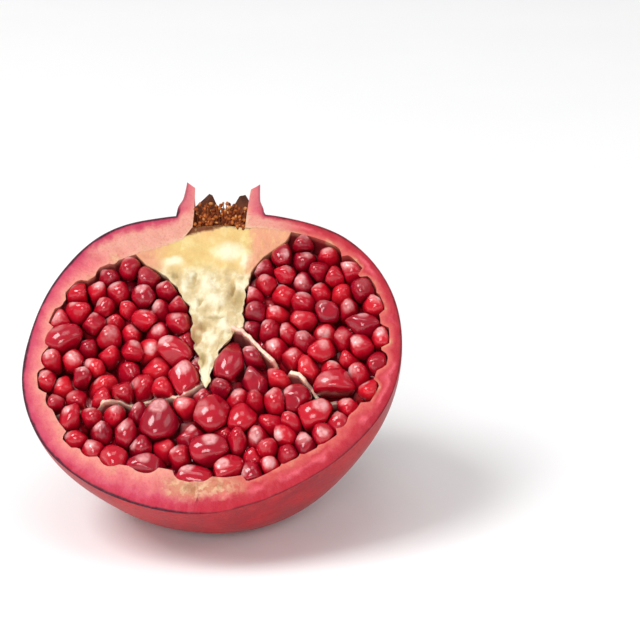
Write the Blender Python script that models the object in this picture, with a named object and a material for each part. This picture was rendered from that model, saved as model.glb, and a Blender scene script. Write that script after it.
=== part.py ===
"""Half of a pomegranate, cut from crown to base, leaning back on its own rind.

All shapes are drawn upright in the fruit's frame, in millimetres: X runs to the right of
the cut face, Y goes back into the fruit, Z runs up the fruit's axis to the crown. The cut
face is the plane Y = 0. An empty then leans the half back and sets it on its flat spot.
"""

import math

import bmesh
import bpy
import numpy as np
from mathutils import Matrix, Vector

MM = 0.001

# How the half rests
LEAN_DEG = 49.0
FLAT_SPOT_DEPTH = 1.8

# Skin radius and rind thickness, by elevation above the fruit's waist: at the right and at the
# left end of the cut face, and at the back of the fruit
ELEVATIONS = (-90, -70, -50, -30, -10, 10, 30, 50, 70, 90)
SKIN_RIGHT = (39.1, 38.2, 38.5, 40.8, 44.0, 46.2, 47.6, 47.3, 44.8, 42.4)
SKIN_LEFT = (39.1, 39.9, 42.0, 44.8, 46.2, 46.0, 46.7, 46.9, 43.4, 42.0)
SKIN_BACK = (39.1, 39.9, 42.2, 45.6, 47.4, 47.0, 46.8, 46.0, 43.6, 42.0)
RIND_RIGHT = (8.0, 6.0, 6.3, 5.2, 4.0, 3.1, 3.0, 3.6, 6.8, 4.0)
RIND_LEFT = (8.0, 8.6, 5.5, 4.5, 3.8, 3.4, 4.5, 9.0, 8.0, 4.0)
RIB_COUNT = 6
RIB_DEPTH = 0.8

# Crown: a short tube that opens into six sepals
CROWN_X = -2.0
CROWN_OUTER = 9.9
CROWN_INNER = 6.6
CROWN_FOOT_Z = 43.4
CROWN_FLOOR_Z = 38.4
NOTCH_Z = 45.6
TIP_Z = 51.4
TIP_WALL = 2.3
TIP_FLARE = -0.6
TIP_SLANT = 1.6
NECK_ELEVATION = 75.0

# How finely the rind is turned
COLUMNS = 24
SKIN_ROWS = 22
CROWN_ROWS = 4
ROOM_ROWS = 15
ROOM_TOP_ELEVATION = 76.0

# Spongy pith under the crown: height, then its reach to the left and to the right of the axis
PITH_X = -1.0
PITH_PROFILE = (
    (-6.2, 0.0, 0.0),
    (-4.5, 0.9, 0.9),
    (-1.0, 1.6, 1.3),
    (3.0, 2.3, 2.0),
    (7.5, 3.2, 4.6),
    (11.0, 4.4, 7.4),
    (16.0, 6.6, 7.2),
    (21.0, 9.0, 7.3),
    (25.5, 11.0, 7.9),
    (28.0, 18.0, 8.8),
    (31.0, 21.5, 10.8),
    (34.5, 18.0, 15.0),
    (38.2, 8.0, 8.0),
    (39.4, 4.6, 4.6),
    (40.0, 0.0, 0.0),
)

# Thin walls between the chambers, as paths across the cut face from the core to the rind.
# Each point is x, z and how far behind the cut the wall's torn edge lies there.
WALL_THICKNESS = 1.1
WALL_LEFT = ((-1.0, -3.0, 3.0), (-5.7, -8.3, 1.2), (-8.5, -8.6, 2.4), (-13.1, -8.2, 4.2), (-18.0, -10.6, 4.6),
             (-22.0, -9.8, 3.6), (-25.0, -11.2, 0.9), (-27.5, -12.4, 3.8), (-33.0, -11.6, 4.8), (-52.0, -18.0, 4.8))
WALL_RIGHT = ((-1.0, 9.0, 0.0), (4.0, 10.6, -0.9), (6.7, 9.8, -1.0), (11.8, 4.6, -0.9), (15.6, 1.4, -0.4),
              (17.6, 0.2, 2.2), (20.0, -1.5, -0.7), (24.0, -3.4, -0.5), (27.0, -6.4, 2.6), (33.0, -6.0, 4.6),
              (52.0, -13.0, 4.8))
WALL_UP = ((-1.0, -3.0, 2.0), (-1.0, 9.0, 0.0), (-1.0, 35.0, 0.0))

# Arils: the large ones that show best, as x, z, angle of the long axis, half length, half width, depth
GAP = 0.3
MAIN_ARILS = (
    (-9.4, 2.9, -35, 4.2, 3.0, 0.8),
    (-6.6, -3.4, -72, 4.9, 3.1, 1.4),
    (1.0, -12.2, 70, 4.7, 4.1, 0.9),
    (-11.6, -15.2, 80, 5.6, 3.8, 1.2),
    (4.6, 1.6, 80, 5.2, 3.3, 2.0),
    (25.4, -11.6, 35, 3.9, 3.6, 1.2),
    (20.0, -7.4, 70, 3.4, 3.0, 2.4),
    (8.6, -13.0, 60, 3.8, 3.0, 2.2),
    (1.9, -21.3, 8, 4.8, 3.3, 1.8),
    (-1.2, -28.4, -6, 5.2, 2.7, 2.6),
    (6.4, -26.4, 25, 4.3, 2.9, 2.2),
    (-13.4, -25.6, 10, 4.4, 2.9, 2.4),
    (-21.6, -25.0, 40, 3.4, 3.1, 2.4),
    (30.2, -3.0, 10, 4.4, 3.4, 1.2),
    (35.2, 13.6, 0, 4.2, 2.9, 1.8),
    (-36.9, 6.4, 30, 4.2, 3.4, 1.6),
    (10.4, -3.0, -60, 4.4, 2.8, 2.6),
    (-3.9, -18.2, 65, 3.6, 2.5, 3.0),
)
ARIL_HALF_LENGTH = (3.5, 4.6)
ARIL_HALF_WIDTH = (2.3, 2.8)
ARIL_DEPTH = (1.4, 3.6)
ARIL_CROWDING = 0.76
ARIL_SQUEEZE = 9.0
ARIL_GAP = 0.2
ARIL_RINGS = 4
ARIL_SIDES = 8
BED_DEPTH = 3.2
ARIL_SEED = 7

# Withered stamens in the crown
STAMEN_COUNT = 26
STAMEN_SEED = 3

RIND_RED = (0.62, 0.045, 0.06)
PITH_CREAM = (0.90, 0.80, 0.55)
ARIL_RED = (0.42, 0.01, 0.025)
STAMEN_BROWN = (0.27, 0.12, 0.05)


def smooth(edge_low, edge_high, value):
    share = min(1.0, max(0.0, (value - edge_low) / (edge_high - edge_low)))
    return share * share * (3 - 2 * share)


def by_elevation(values, elevation):
    """Smooth curve through values given at ELEVATIONS."""
    place = (elevation - ELEVATIONS[0]) / (ELEVATIONS[1] - ELEVATIONS[0])
    index = int(min(max(math.floor(place), 0), len(values) - 2))
    share = place - index
    before = values[max(index - 1, 0)]
    start, end = values[index], values[index + 1]
    after = values[min(index + 2, len(values) - 1)]
    return start + 0.5 * share * (
        end - before
        + share * (2 * before - 5 * start + 4 * end - after + share * (3 * (start - end) + after - before))
    )


def side_blend(right, left, elevation, azimuth):
    share = (1 + math.cos(azimuth)) / 2
    return share * by_elevation(right, elevation) + (1 - share) * by_elevation(left, elevation)


def skin_radius(elevation, azimuth):
    rib = RIB_DEPTH * (math.cos(RIB_COUNT * azimuth) - 1) / 2 * math.cos(math.radians(elevation)) ** 2
    sides = side_blend(SKIN_RIGHT, SKIN_LEFT, elevation, azimuth)
    return sides + (by_elevation(SKIN_BACK, elevation) - sides) * math.sin(azimuth) ** 2 + rib


def inner_radius(elevation, azimuth):
    return skin_radius(elevation, azimuth) - side_blend(RIND_RIGHT, RIND_LEFT, elevation, azimuth)


def turned(reach, azimuth, height, shift=0.0):
    """The point at a reach from the axis; sin of a half turn is held at 0 to keep the cut face flat."""
    back = 0.0 if azimuth in (0.0, math.pi) else reach * math.sin(azimuth)
    return Vector((reach * math.cos(azimuth) + shift, back, height))


def body_point(radius, elevation, azimuth):
    angle = math.radians(elevation)
    shift = CROWN_X * smooth(50, NECK_ELEVATION, elevation)
    return turned(radius * math.cos(angle), azimuth, radius * math.sin(angle), shift)


def rim_height(azimuth):
    """The crown's edge: a pointed sepal every sixth of a turn, with a notch between two."""
    sixth = math.pi / 3
    off_middle = abs((azimuth + sixth / 2) % sixth - sixth / 2) / (sixth / 2)
    return NOTCH_Z + (TIP_Z - NOTCH_Z) * (1 - off_middle) ** 0.85


def crown_point(outer, share, azimuth):
    """A point on the crown's outer or inner wall, share 0 at its foot and 1 at its edge."""
    rim = rim_height(azimuth) - (0 if outer else TIP_SLANT)
    foot = CROWN_FOOT_Z if outer else CROWN_FLOOR_Z
    height = foot + (rim - foot) * share
    flare = TIP_FLARE * smooth(NOTCH_Z - 2, TIP_Z, height)
    wall = CROWN_OUTER + flare
    if not outer:
        lip = CROWN_OUTER + TIP_FLARE * smooth(NOTCH_Z - 2, TIP_Z, rim) - TIP_WALL
        wall = CROWN_INNER + (lip - CROWN_INNER) * share ** 2
    return turned(wall, azimuth, height, CROWN_X)


def spun_half(row_count, column_count, point):
    """A closed half body: a line of row_count vertices is spun half a turn about Z, then each
    vertex goes to point(row, azimuth). The first and the last row are single points."""
    mesh = bmesh.new()
    row_of = mesh.verts.layers.int.new("row")
    line = []
    for row in range(row_count):
        vertex = mesh.verts.new((1.0, 0.0, row))
        vertex[row_of] = row
        line.append(vertex)
    edges = [mesh.edges.new(pair) for pair in zip(line, line[1:])]
    bmesh.ops.spin(mesh, geom=line + edges, axis=(0, 0, 1), cent=(0, 0, 0), angle=math.pi, steps=column_count)
    for vertex in mesh.verts:
        azimuth = math.atan2(vertex.co.y, vertex.co.x)
        column = round(azimuth / math.pi * column_count)
        vertex.co = point(vertex[row_of], math.pi * column / column_count) * MM
    bmesh.ops.remove_doubles(mesh, verts=mesh.verts, dist=0.002 * MM)
    bmesh.ops.holes_fill(mesh, edges=[edge for edge in mesh.edges if edge.is_boundary], sides=0)
    bmesh.ops.recalc_face_normals(mesh, faces=mesh.faces)
    return mesh


def new_object(name, mesh, colour=None, roughness=0.4):
    data = bpy.data.meshes.new(name)
    mesh.to_mesh(data)
    mesh.free()
    made = bpy.data.objects.new(name, data)
    parts.objects.link(made)
    if colour:
        material = bpy.data.materials.new(name)
        material.use_nodes = True
        shader = material.node_tree.nodes["Principled BSDF"]
        shader.inputs["Base Color"].default_value = (*colour, 1)
        shader.inputs["Roughness"].default_value = roughness
        data.materials.append(material)
    return made


def combine(target, tool, operation, solver="EXACT"):
    """Joins, cuts or intersects target with tool for good, and removes tool."""
    modifier = target.modifiers.new(operation, "BOOLEAN")
    modifier.operation = operation
    modifier.solver = solver
    modifier.object = tool
    bpy.context.view_layer.update()
    evaluated = target.evaluated_get(bpy.context.evaluated_depsgraph_get())
    result = bpy.data.meshes.new_from_object(evaluated)
    target.modifiers.remove(modifier)
    target.data = result
    bpy.data.objects.remove(tool)


def keep_largest_body(target):
    """Drops the loose scraps that a cut leaves."""
    mesh = bmesh.new()
    mesh.from_mesh(target.data)
    bmesh.ops.remove_doubles(mesh, verts=mesh.verts, dist=0.004 * MM)
    bmesh.ops.dissolve_degenerate(mesh, edges=mesh.edges, dist=0.004 * MM)
    unseen = set(mesh.verts)
    bodies = []
    while unseen:
        body, edge_of_body = set(), [unseen.pop()]
        while edge_of_body:
            vertex = edge_of_body.pop()
            body.add(vertex)
            near = {edge.other_vert(vertex) for edge in vertex.link_edges} & unseen
            unseen -= near
            edge_of_body.extend(near)
        bodies.append(body)
    bodies.sort(key=len)
    bmesh.ops.delete(mesh, geom=[vertex for body in bodies[:-1] for vertex in body], context="VERTS")
    mesh.to_mesh(target.data)
    mesh.free()


def room_point(row, azimuth, inset):
    """A point on the wall of the room inside the rind; row 0 is at the base."""
    elevation = -90 + (ROOM_TOP_ELEVATION + 90) * row / (ROOM_ROWS - 1)
    return body_point(inner_radius(elevation, azimuth) - inset, elevation, azimuth)


def make_rind():

    def point(row, azimuth):
        if row < SKIN_ROWS:
            elevation = -90 + (NECK_ELEVATION + 90) * row / (SKIN_ROWS - 1)
            return body_point(skin_radius(elevation, azimuth), elevation, azimuth)
        row -= SKIN_ROWS
        if row < CROWN_ROWS:
            return crown_point(True, row / (CROWN_ROWS - 1), azimuth)
        row -= CROWN_ROWS
        if row < CROWN_ROWS:
            return crown_point(False, 1 - row / (CROWN_ROWS - 1), azimuth)
        row -= CROWN_ROWS
        return room_point(ROOM_ROWS - 1 - row, azimuth, 0.0)

    mesh = spun_half(SKIN_ROWS + 2 * CROWN_ROWS + ROOM_ROWS, COLUMNS, point)
    down = Vector((0, math.sin(math.radians(LEAN_DEG)), -math.cos(math.radians(LEAN_DEG))))
    lowest = max(vertex.co.dot(down) for vertex in mesh.verts)
    floor = down * (lowest - FLAT_SPOT_DEPTH * MM)
    cut = bmesh.ops.bisect_plane(
        mesh, geom=mesh.verts[:] + mesh.edges[:] + mesh.faces[:],
        plane_co=floor, plane_no=down, clear_outer=True, dist=0.01 * MM,
    )
    rim = [item for item in cut["geom_cut"] if isinstance(item, bmesh.types.BMEdge)]
    bmesh.ops.contextual_create(mesh, geom=rim)
    bmesh.ops.recalc_face_normals(mesh, faces=mesh.faces)
    return new_object("rind", mesh, RIND_RED, 0.35), floor.length


def front_face(mesh):
    return max((face for face in mesh.faces if abs(face.normal.y) > 0.99), key=lambda face: face.calc_area())


def pull_front(mesh, distance):
    """Moves the cut face of a half body forward."""
    mesh.normal_update()
    face = front_face(mesh)
    pulled = bmesh.ops.extrude_face_region(mesh, geom=[face])
    corners = [item for item in pulled["geom"] if isinstance(item, bmesh.types.BMVert)]
    bmesh.ops.translate(mesh, verts=corners, vec=(0, -distance * MM, 0))
    bmesh.ops.delete(mesh, geom=[face], context="FACES_ONLY")
    bmesh.ops.recalc_face_normals(mesh, faces=mesh.faces)


def make_plug(inset, front):
    """The room inside the rind as a solid, taken in by inset, its front moved forward of the cut."""
    def point(row, azimuth):
        if row < ROOM_ROWS:
            return room_point(row, azimuth, inset)
        reach = 0.0 if row == ROOM_ROWS + 2 else CROWN_INNER - inset
        height = CROWN_FLOOR_Z if row == ROOM_ROWS else CROWN_FLOOR_Z + 3
        return turned(reach, azimuth, height, CROWN_X)

    mesh = spun_half(ROOM_ROWS + 3, COLUMNS, point)
    pull_front(mesh, front)
    return new_object("plug", mesh)


def make_core(swell):
    """The spongy mass, swollen by a margin when it serves to cut the arils clear of it."""
    def point(row, azimuth):
        height, left, right = PITH_PROFILE[row]
        share = (1 + math.cos(azimuth)) / 2
        reach = share * right + (1 - share) * left
        if reach == 0:
            return turned(0, azimuth, height + (swell if height > 0 else -swell), PITH_X)
        return turned(reach + swell, azimuth, height, PITH_X)

    mesh = spun_half(len(PITH_PROFILE), 16, point)
    if swell:
        pull_front(mesh, 12)
    return new_object("pith", mesh, PITH_CREAM, 0.7)


def make_wall(path, swell, thickness=WALL_THICKNESS):
    """A thin wall along a path of the cut face, from its torn edge to deep inside the fruit."""
    mesh = bmesh.new()
    sections = []
    for index, (x, z, depth) in enumerate(path):
        before = Vector(path[max(index - 1, 0)][:2])
        after = Vector(path[min(index + 1, len(path) - 1)][:2])
        along = (after - before).normalized()
        aside = Vector((-along.y, 0, along.x)) * (thickness / 2 + swell)
        front = Vector((x, depth - swell, z))
        back = Vector((x, 60, z))
        corners = (front + aside, front - aside, back - aside, back + aside)
        sections.append([mesh.verts.new(corner * MM) for corner in corners])
    for start, end in zip(sections, sections[1:]):
        for side in range(4):
            other = (side + 1) % 4
            mesh.faces.new((start[side], start[other], end[other], end[side]))
    mesh.faces.new(sections[0][::-1])
    mesh.faces.new(sections[-1])
    bmesh.ops.recalc_face_normals(mesh, faces=mesh.faces)
    return new_object("wall", mesh)


def make_pith(swell=0.0):
    pith = make_core(swell)
    for path in (WALL_LEFT, WALL_RIGHT, WALL_UP):
        combine(pith, make_wall(path, swell), "UNION")
    if not swell:
        combine(pith, make_plug(GAP, 1.2), "INTERSECT")
        keep_largest_body(pith)
    return pith


def to_path(point, path):
    """The nearest point of a path to a point of the plane."""
    best = None
    for start, end in zip(path, path[1:]):
        start, end = Vector(start[:2]), Vector(end[:2])
        along = end - start
        share = min(1.0, max(0.0, (point - start).dot(along) / along.length_squared))
        near = start + along * share
        if best is None or (near - point).length < (best - point).length:
            best = near
    return best


def surroundings(centre):
    """The surfaces round a point inside the rind, each as its distance and the way towards it."""
    radius = centre.length
    elevation = math.degrees(math.asin(centre.z / radius))
    azimuth = math.atan2(max(centre.y, 0), centre.x)
    found = [(inner_radius(elevation, azimuth) - GAP - radius, centre / radius)]
    flat = Vector((centre.x, centre.z))
    for path in (WALL_LEFT, WALL_RIGHT, WALL_UP):
        way = to_path(flat, path) - flat
        found.append((way.length - WALL_THICKNESS / 2 * (path != WALL_LEFT) - GAP, Vector((way.x, 0, way.y)) / way.length))
    back = Vector((centre.x - PITH_X, centre.y, 0))
    share = (1 + back.x / back.length) / 2
    profile = [(share * right + (1 - share) * left, height) for height, left, right in PITH_PROFILE]
    here = Vector((back.length, centre.z))
    way = to_path(here, profile) - here
    reach = float(np.interp(centre.z, [p[1] for p in profile], [p[0] for p in profile]))
    sign = -1 if here.x < reach and profile[0][1] < centre.z < profile[-1][1] else 1
    toward = (back.normalized() * way.x + Vector((0, 0, way.y))) / max(way.length, 1e-6) * sign
    found.append((way.length * sign - GAP, toward))
    return found


def chamber_of(x, z):
    wall = WALL_LEFT[::-1] if x < WALL_LEFT[0][0] else WALL_RIGHT
    if z < float(np.interp(x, [point[0] for point in wall], [point[1] for point in wall])):
        return "arils_lower"
    return "arils_left" if x < WALL_LEFT[0][0] else "arils_right"


class Aril:
    """One aril: its centre, the direction of its long axis, and its half length and half width."""

    def __init__(self, centre, axis, length, width):
        self.centre, self.axis, self.length, self.width = centre, axis.normalized(), length, width
        self.chamber = chamber_of(centre.x, centre.z)

    def reach(self, way):
        """How far it extends from its centre along a unit direction."""
        lengthwise = self.axis.dot(way)
        return math.sqrt((self.length * lengthwise) ** 2 + self.width ** 2 * (1 - lengthwise ** 2))


def crowding(one, other):
    """The distance of two arils as a share of the distance at which they touch, and the way across."""
    way = other.centre - one.centre
    distance = max(way.length, 1e-6)
    way = way / distance
    return distance / (one.reach(way) + other.reach(way)), way


def scatter_arils():
    """The top layer: the main arils, then smaller ones wherever they fit, then all pushed apart."""
    rng = np.random.default_rng(ARIL_SEED)
    arils = []
    for x, z, angle, length, width, depth in MAIN_ARILS:
        angle = math.radians(angle)
        axis = Vector((math.cos(angle), 0.15, math.sin(angle)))
        arils.append(Aril(Vector((x, depth, z)), axis, length, width))
    fixed = len(arils)
    for _ in range(9000):
        x, z = rng.uniform((-45, -38), (45, 42))
        depth = rng.uniform(*ARIL_DEPTH)
        length, width = rng.uniform(*ARIL_HALF_LENGTH), rng.uniform(*ARIL_HALF_WIDTH)
        outward = math.atan2(z - 4, x + 1) + rng.normal(0, 0.5)
        lean = math.radians(min(80, abs(rng.normal(28, 16))))
        axis = Vector((math.cos(outward) * math.sin(lean), math.cos(lean), math.sin(outward) * math.sin(lean)))
        aril = Aril(Vector((x, depth, z)), axis, length, width)
        if any(distance < 0.66 * aril.reach(way) for distance, way in surroundings(aril.centre)):
            continue
        if all(crowding(aril, other)[0] > ARIL_CROWDING for other in arils if abs(other.centre.x - x) < 9):
            arils.append(aril)
    for _ in range(24):
        moves = [Vector() for _ in arils]
        for i, aril in enumerate(arils):
            for distance, way in surroundings(aril.centre):
                short = 0.85 * aril.reach(way) - distance
                if short > 0:
                    moves[i] -= way * short * 0.5
            for j in range(i):
                if abs(arils[j].centre.x - aril.centre.x) > 9:
                    continue
                share, way = crowding(aril, arils[j])
                if share < 0.97:
                    push = way * (0.97 - share) * (aril.reach(way) + arils[j].reach(way)) * 0.3
                    moves[i] -= push * (1 if i >= fixed else 0.15)
                    moves[j] += push * (1 if j >= fixed else 0.15)
        for aril, move in zip(arils, moves):
            aril.centre += Vector((move.x, 0.3 * move.y, move.z))
    return arils


def aril_mesh(mesh, aril, arils):
    """Adds one aril: an ellipsoid pressed flat where its neighbours and the walls are."""
    limits = [(distance, way) for distance, way in surroundings(aril.centre) if distance < 8]
    for other in arils:
        if other is aril or (other.centre - aril.centre).length > 12:
            continue
        way = other.centre - aril.centre
        distance = way.length
        way = way / distance
        share = aril.reach(way) / (aril.reach(way) + other.reach(way))
        limits.append((distance * share - ARIL_GAP / 2, way))
    ball = bmesh.ops.create_uvsphere(
        mesh, u_segments=ARIL_SIDES, v_segments=ARIL_RINGS, radius=1.0, matrix=Matrix.Rotation(math.pi / 2, 4, "X"),
    )
    for vertex in ball["verts"]:
        way = vertex.co.normalized()
        lengthwise = aril.axis.dot(way)
        full = 1 / math.sqrt((lengthwise / aril.length) ** 2 + (1 - lengthwise ** 2) / aril.width ** 2) * 1.12
        total = full ** -ARIL_SQUEEZE
        for distance, normal in limits:
            facing = normal.dot(way)
            if facing > 0.05:
                total += (max(distance, 0.4) / facing) ** -ARIL_SQUEEZE
        vertex.co = (aril.centre + way * total ** (-1 / ARIL_SQUEEZE)) * MM


def make_arils(name, arils):
    """One chamber's arils on the pulp behind them, as one body clear of the rind and the walls."""
    rows = bmesh.new()
    bmesh.ops.create_cube(rows, size=1.0)
    bmesh.ops.scale(rows, verts=rows.verts, vec=(120 * MM, 60 * MM, 120 * MM))
    bmesh.ops.translate(rows, verts=rows.verts, vec=(0, (30 + BED_DEPTH) * MM, 0))
    body = new_object(name, rows, ARIL_RED, 0.2)
    loose = bpy.data.collections.new(name + "_loose")
    bpy.context.scene.collection.children.link(loose)
    for aril in arils:
        if aril.chamber != name:
            continue
        mesh = bmesh.new()
        aril_mesh(mesh, aril, arils)
        grain = new_object("grain", mesh)
        parts.objects.unlink(grain)
        loose.objects.link(grain)
    modifier = body.modifiers.new("grains", "BOOLEAN")
    modifier.operation = "UNION"
    modifier.solver = "MANIFOLD"
    modifier.operand_type = "COLLECTION"
    modifier.collection = loose
    bpy.context.view_layer.update()
    evaluated = body.evaluated_get(bpy.context.evaluated_depsgraph_get())
    result = bpy.data.meshes.new_from_object(evaluated)
    body.modifiers.remove(modifier)
    body.data = result
    for grain in list(loose.objects):
        bpy.data.objects.remove(grain)
    bpy.data.collections.remove(loose)
    combine(body, make_plug(GAP, 8), "INTERSECT", "MANIFOLD")
    combine(body, make_chamber(name), "INTERSECT", "MANIFOLD")
    combine(body, make_pith(GAP), "DIFFERENCE", "MANIFOLD")
    keep_largest_body(body)
    return body


def make_chamber(name):
    """The part of the cut face that one chamber takes, as a solid through the fruit."""
    left = [(x, z) for x, z, _ in WALL_LEFT]
    right = [(x, z) for x, z, _ in WALL_RIGHT]
    if name == "arils_lower":
        outline = [(x, z - 0.2) for x, z in left[::-1] + right] + [(60, -60), (-60, -60)]
    elif name == "arils_left":
        outline = [(x, z + 0.2) for x, z in left[::-1]] + [(-1.2, 9), (-1.2, 50), (-60, 50)]
    else:
        outline = [(x, z + 0.2) for x, z in right] + [(60, 50), (-0.8, 50)]
    mesh = bmesh.new()
    corners = [mesh.verts.new((x * MM, -9 * MM, z * MM)) for x, z in outline]
    face = mesh.faces.new(corners)
    pushed = bmesh.ops.extrude_face_region(mesh, geom=[face])
    moved = [item for item in pushed["geom"] if isinstance(item, bmesh.types.BMVert)]
    bmesh.ops.translate(mesh, verts=moved, vec=(0, 70 * MM, 0))
    bmesh.ops.recalc_face_normals(mesh, faces=mesh.faces)
    return new_object("chamber", mesh)


def make_stamens():
    """The brown tuft on the floor of the crown."""
    profile = ((40.8, 0.0), (40.3, 4.2), (39.5, 6.1), (42.6, 6.2), (44.0, 4.0), (44.3, 0.0))

    def point(row, azimuth):
        height, reach = profile[row]
        return turned(reach, azimuth, height, CROWN_X)

    tuft = new_object("stamens", spun_half(len(profile), 10, point), STAMEN_BROWN, 0.8)
    rng = np.random.default_rng(STAMEN_SEED)
    for _ in range(STAMEN_COUNT):
        azimuth = rng.uniform(0.08, math.pi - 0.08)
        reach = 5.4 * math.sqrt(rng.uniform(0, 1))
        height = rng.uniform(40.5, 45.6 - 0.2 * reach)
        size = rng.uniform(0.5, 0.8)
        mesh = bmesh.new()
        bmesh.ops.create_icosphere(mesh, subdivisions=1, radius=size * MM)
        bmesh.ops.scale(mesh, verts=mesh.verts, vec=(1, 1, 1.6))
        centre = turned(reach, azimuth, min(height, 44.0 - 0.12 * reach + 0.9), CROWN_X)
        if rng.uniform() < 0.4:
            centre = Vector((CROWN_X + rng.uniform(-5.3, 5.3), 0.1, rng.uniform(41, 43.6)))
        bmesh.ops.translate(mesh, verts=mesh.verts, vec=centre * MM)
        combine(tuft, new_object("anther", mesh), "UNION", "MANIFOLD")
    keep_largest_body(tuft)
    return tuft


def stand(floor_distance):
    """Leans the half back, sets its flat spot on Z = 0 and centres it on the axes."""
    lean = Matrix.Rotation(-math.radians(LEAN_DEG), 4, "X")
    lift = Matrix.Translation((0, 0, floor_distance))
    placed = lift @ lean
    corners = [placed @ vertex.co for made in parts.objects for vertex in made.data.vertices]
    middle = [(min(c[i] for c in corners) + max(c[i] for c in corners)) / 2 for i in (0, 1)]
    placed = Matrix.Translation((-middle[0], -middle[1], 0)) @ placed
    for made in parts.objects:
        made.data.transform(placed)
        made.data.shade_smooth()
        made.data.set_sharp_from_angle(angle=math.radians(40))
    return placed


for old in list(bpy.data.objects):
    bpy.data.objects.remove(old)
parts = bpy.data.collections.new("pomegranate_half")
bpy.context.scene.collection.children.link(parts)

rind, floor_distance = make_rind()
pith = make_pith()
all_arils = scatter_arils()
for chamber in ("arils_left", "arils_right", "arils_lower"):
    make_arils(chamber, all_arils)
make_stamens()
placement = stand(floor_distance)
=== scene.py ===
"""Looks of the halved pomegranate: rind, pith, thin walls, arils and stamens round the CAD frame.

Shapes are drawn upright in the fruit's own frame, in millimetres: X to the right of the cut face,
Y back into the fruit, Z up its axis to the crown, with the cut face at Y = 0. stand() then leans
each finished mesh back into the frame of the CAD model, in metres.
"""

import math

import bmesh
import bpy
import numpy as np
from mathutils import Matrix, Vector, kdtree, noise


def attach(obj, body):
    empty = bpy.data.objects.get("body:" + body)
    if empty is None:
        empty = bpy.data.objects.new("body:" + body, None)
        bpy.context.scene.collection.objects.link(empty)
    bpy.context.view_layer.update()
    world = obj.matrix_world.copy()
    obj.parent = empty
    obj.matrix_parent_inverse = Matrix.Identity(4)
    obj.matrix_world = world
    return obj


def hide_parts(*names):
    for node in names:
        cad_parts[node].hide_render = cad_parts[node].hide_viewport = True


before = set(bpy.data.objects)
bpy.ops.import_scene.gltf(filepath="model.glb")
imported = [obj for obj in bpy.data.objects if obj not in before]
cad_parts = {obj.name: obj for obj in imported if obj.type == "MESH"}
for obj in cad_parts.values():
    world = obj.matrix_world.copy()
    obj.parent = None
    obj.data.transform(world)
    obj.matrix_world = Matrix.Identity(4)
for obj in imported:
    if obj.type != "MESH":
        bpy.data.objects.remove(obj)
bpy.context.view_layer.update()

MM = 0.001

# Where the fruit's centre stands, and how far the half leans back
LEAN_DEG = 49.0
FRUIT_CENTRE = (0.00030079, -0.00813065, 0.04225723)

# Skin radius and rind thickness, by elevation above the fruit's waist: at the right and at the
# left end of the cut face, and at the back of the fruit
ELEVATIONS = (-90, -70, -50, -30, -10, 10, 30, 50, 70, 90)
SKIN_RIGHT = (39.1, 38.2, 38.5, 40.8, 44.0, 46.2, 47.6, 47.3, 44.8, 42.4)
SKIN_LEFT = (39.1, 39.9, 42.0, 44.8, 46.2, 46.0, 46.7, 46.9, 43.4, 42.0)
SKIN_BACK = (39.1, 39.9, 42.2, 45.6, 47.4, 47.0, 46.8, 46.0, 43.6, 42.0)
RIND_RIGHT = (8.0, 6.0, 6.3, 5.2, 4.0, 3.1, 3.0, 3.2, 3.9, 4.0)
RIND_LEFT = (8.0, 8.6, 5.5, 4.5, 3.8, 3.4, 4.5, 9.0, 8.0, 4.0)
RIB_COUNT = 6
RIB_DEPTH = 0.8

# Crown: a short tube that opens into six sepals
CROWN_X = -2.0
CROWN_OUTER = 9.9
CROWN_INNER = 6.6
CROWN_FOOT_Z = 43.4
CROWN_FLOOR_Z = 38.4
NOTCH_Z = 45.6
TIP_Z = 51.4
TIP_WALL = 2.3
TIP_FLARE = -0.6
TIP_SLANT = 1.6
FOOT_FLARE = 1.0
FOOT_HEIGHT = 3.5
BACK_TIP_RISE = 2.2
NECK_ELEVATION = 75.0
ROOM_TOP_ELEVATION = 76.0

# How finely the rind is turned, and how far its flesh rises between the arils
COLUMNS = 84
BODY_ROWS = 150
CROWN_ROWS = 12
CUSP_HEIGHT = 1.9
CUSP_SOFTNESS = 3.0

# Spongy pith under the crown: height, then its reach to the left and to the right of the axis
PITH_X = -1.0
PITH_PROFILE = (
    (-6.2, 0.0, 0.0),
    (-4.5, 1.1, 0.8),
    (-1.0, 2.0, 1.2),
    (3.0, 3.1, 1.8),
    (7.5, 4.6, 4.6),
    (11.0, 5.0, 7.4),
    (16.0, 6.2, 7.2),
    (21.0, 9.8, 7.3),
    (24.5, 12.8, 7.8),
    (27.2, 18.0, 8.6),
    (30.6, 21.5, 10.8),
    (34.8, 18.5, 15.6),
    (37.9, 11.0, 18.4),
    (38.7, 4.6, 4.6),
    (39.2, 0.0, 0.0),
)
# How far its shoulders rise beside the crown, and where they start, out from the crown's axis
SHOULDER_RISE = 2.5
SHOULDER_START = (6.8, 9.5)
# How far its edge runs in under the flesh at the cut, and how far it stays off the rind behind it
PITH_UNDER_FLESH = 0.35
PITH_OFF_RIND = 0.3
# Seed of the wander of its hollows and lumps; 0 would give another relief in each run
PITH_SEED = 1

# Hollows in the cut face of the pith: x, z, half width, half height, depth
PITH_HOLLOWS = (
    (3.0, 21.4, 0.8, 2.7, 1.6),
    (4.9, 18.0, 1.2, 4.0, 1.1),
    (-4.8, 17.6, 0.9, 1.5, 1.3),
    (-6.8, 24.0, 0.7, 2.4, 0.9),
    (-11.4, 24.6, 1.0, 1.4, 0.8),
    (-1.0, 13.2, 3.8, 0.5, 1.0),
    (-3.3, 11.2, 1.1, 1.8, 1.2),
    (-5.2, 7.4, 1.4, 2.4, 1.3),
    (4.6, 9.6, 1.1, 1.3, 1.4),
    (-2.4, 1.4, 0.6, 2.6, 0.9),
    (0.4, -2.6, 0.5, 1.8, 1.0),
    (-19.0, 29.6, 2.0, 0.6, 0.7),
)
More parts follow.
